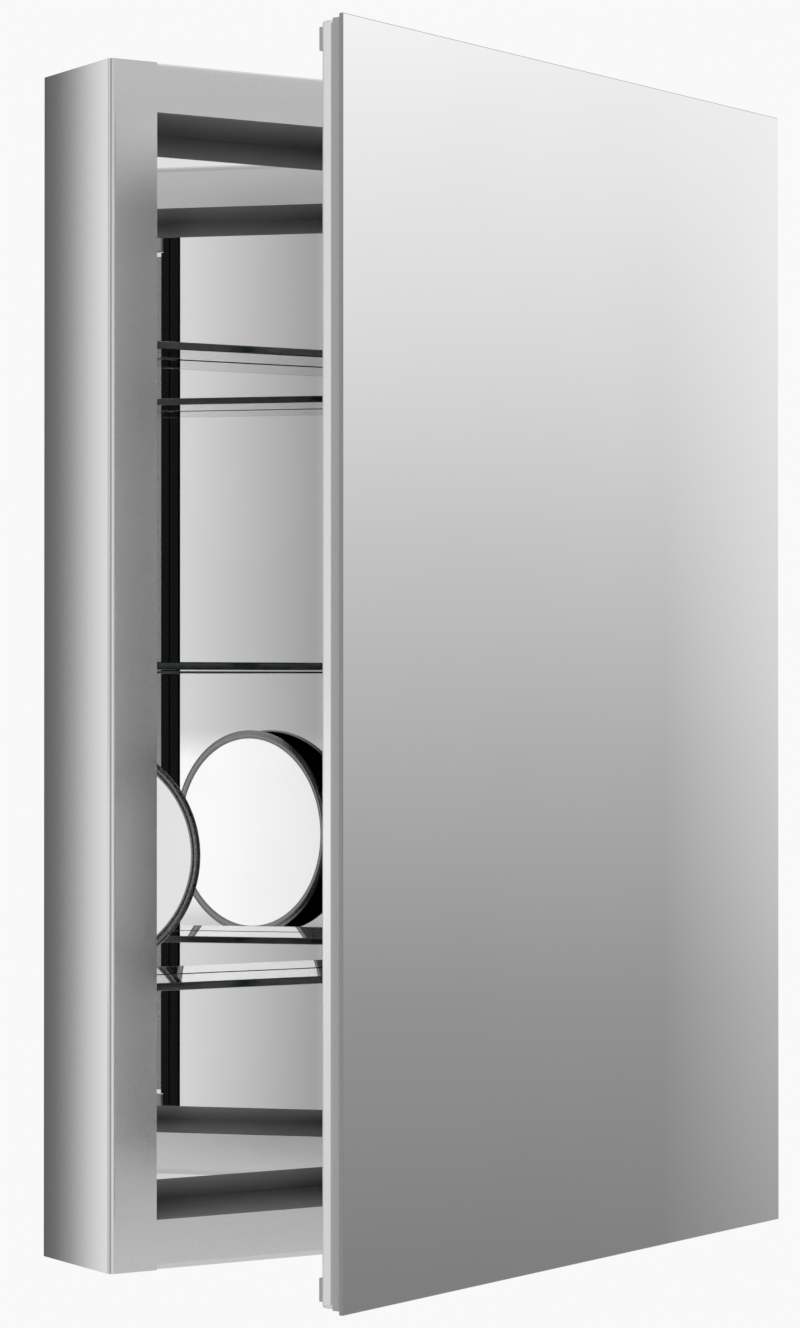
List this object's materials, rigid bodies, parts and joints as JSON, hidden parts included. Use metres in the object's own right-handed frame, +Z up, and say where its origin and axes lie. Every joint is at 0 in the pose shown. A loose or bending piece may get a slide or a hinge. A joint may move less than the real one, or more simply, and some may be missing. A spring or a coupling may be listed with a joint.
{
  "type": "medicine cabinet with mirror",
  "caption": "Wall-hung aluminium medicine cabinet: hinged mirrored door, mirrored back, glass shelves and a round swivelling magnifying mirror inside the door.",
  "frame": {"origin": "middle of the case's wall face", "axes": "+X right, +Y into the wall, +Z up; the door is on the -Y side, hinged on the right and standing open at rest"},
  "size_m": [0.5104, 0.3059, 0.762],
  "materials": {
    "anodised_aluminium": "satin anodised extrusion",
    "mirror_glass": "silvered float glass",
    "shelf_glass": "clear float glass with ground edges",
    "zinc_steel": "zinc plated",
    "back_sheet_steel": "coated sheet",
    "core_board": "grey carrier board",
    "foam_board": "rigid foam filler",
    "grey_rubber": "soft buffer",
    "black_rubber": "soft dust seal",
    "dark_lining": "dark grey lining film",
    "clear_pad": "translucent pad",
    "bearing_plastic": "moulded acetal",
    "black_plastic": "moulded, fine texture",
    "satin_ring": "satin ring",
    "pin_steel": "polished steel"
  },
  "bodies": {
    "case": {"case_left": "anodised_aluminium", "case_right": "anodised_aluminium", "case_top": "anodised_aluminium", "case_bottom": "anodised_aluminium", "case_corner_keys": "zinc_steel", "case_end_caps": "anodised_aluminium", "back_mirror": "mirror_glass", "back_sheet": "back_sheet_steel", "back_screws": "zinc_steel", "hang_bar_top": "anodised_aluminium", "hang_bar_bottom": "anodised_aluminium", "hang_bar_screws": "zinc_steel", "wall_rail_top": "anodised_aluminium", "wall_rail_bottom": "anodised_aluminium", "glass_shelf_top": "shelf_glass", "glass_shelf_middle": "shelf_glass", "glass_shelf_bottom": "shelf_glass", "shelf_pins": "pin_steel", "shelf_pads": "clear_pad", "case_lining": "dark_lining", "hinge_leaf_top": "zinc_steel", "hinge_leaf_bottom": "zinc_steel", "hinge_bushes": "bearing_plastic", "hinge_leaf_screws": "zinc_steel"},
    "door": {"front_mirror": "mirror_glass", "door_core": "core_board", "door_foam": "foam_board", "rear_mirror": "mirror_glass", "door_rail_left": "anodised_aluminium", "door_rail_top": "anodised_aluminium", "door_rail_bottom": "anodised_aluminium", "door_stile_right": "anodised_aluminium", "door_corner_keys": "zinc_steel", "door_corner_screws": "zinc_steel", "hinge_bracket_top": "zinc_steel", "hinge_bracket_bottom": "zinc_steel", "hinge_pin_top": "pin_steel", "hinge_pin_bottom": "pin_steel", "hinge_bracket_screws": "zinc_steel", "door_bumpers": "grey_rubber", "door_seal": "black_rubber", "magnifier_pad": "bearing_plastic", "magnifier_base": "black_plastic"},
    "magnifier_swivel": {"swivel_cross": "pin_steel"},
    "magnifier_head": {"magnifier_hub": "black_plastic", "magnifier_shell": "black_plastic", "magnifier_screws": "zinc_steel", "magnifier_glass": "mirror_glass", "magnifier_bezel": "satin_ring"}
  },
  "joints": [
    {"name": "door_swing", "type": "hinge", "parent": "case", "child": "door", "pos_m": [0.246, -0.1055, 0], "axis": [0, 0, 1], "range_deg": [-22.7, 82.3]},
    {"name": "magnifier_pan", "type": "hinge", "parent": "door", "child": "magnifier_swivel", "pos_m": [-0.11037, -0.23723, -0.1338], "axis": [0, 0, 1], "range_deg": [-8.75, 2.25]},
    {"name": "magnifier_tilt", "type": "hinge", "parent": "magnifier_swivel", "child": "magnifier_head", "pos_m": [-0.11037, -0.23723, -0.1338], "axis": [0.8992, 0.4376, 0], "range_deg": [-3, 3]}
  ]
}
